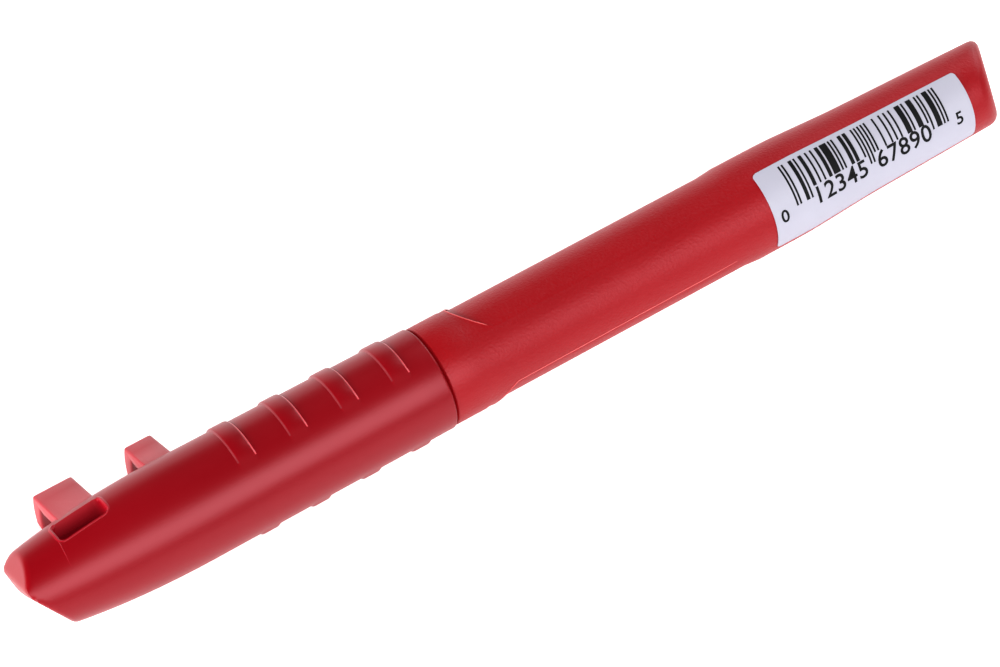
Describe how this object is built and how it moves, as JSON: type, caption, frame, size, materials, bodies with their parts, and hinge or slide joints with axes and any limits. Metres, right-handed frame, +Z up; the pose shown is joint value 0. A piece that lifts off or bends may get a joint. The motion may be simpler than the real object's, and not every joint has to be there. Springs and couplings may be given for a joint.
{
  "type": "chisel tip marker",
  "caption": "Round felt marker with a chisel nib, a ribbed push-on cap with bent clip hooks and a side window, recessed side panels and a white label on its narrowing tail.",
  "frame": {"origin": "middle of the bounding box at the level of the table that the cap ribs and the hook ends lie on", "axes": "+X along the marker from the cap to the tail, +Z up from the table, +Y to the side of the clip hooks"},
  "size_m": [0.1508, 0.0205, 0.0149],
  "materials": {
    "cap_plastic": "satin crimson",
    "liner_plastic": "natural white",
    "barrel_plastic": "fine satin red",
    "label_paper": "coated white with black bars",
    "holder_plastic": "satin red",
    "nib_felt": "ink soaked felt",
    "ink_fibre": "ink soaked fibre",
    "wrap_film": "clear film"
  },
  "bodies": {
    "body": {"barrel": "barrel_plastic", "label": "label_paper", "nib_holder": "holder_plastic", "chisel_nib": "nib_felt", "ink_reservoir": "ink_fibre", "reservoir_wrap": "wrap_film"},
    "cap": {"cap_shell": "cap_plastic", "cap_liner": "liner_plastic"}
  },
  "joints": [
    {"name": "cap_pull", "type": "slide", "parent": "body", "child": "cap", "axis": [-1, 0, 0], "range_m": [0, 0.05]}
  ]
}
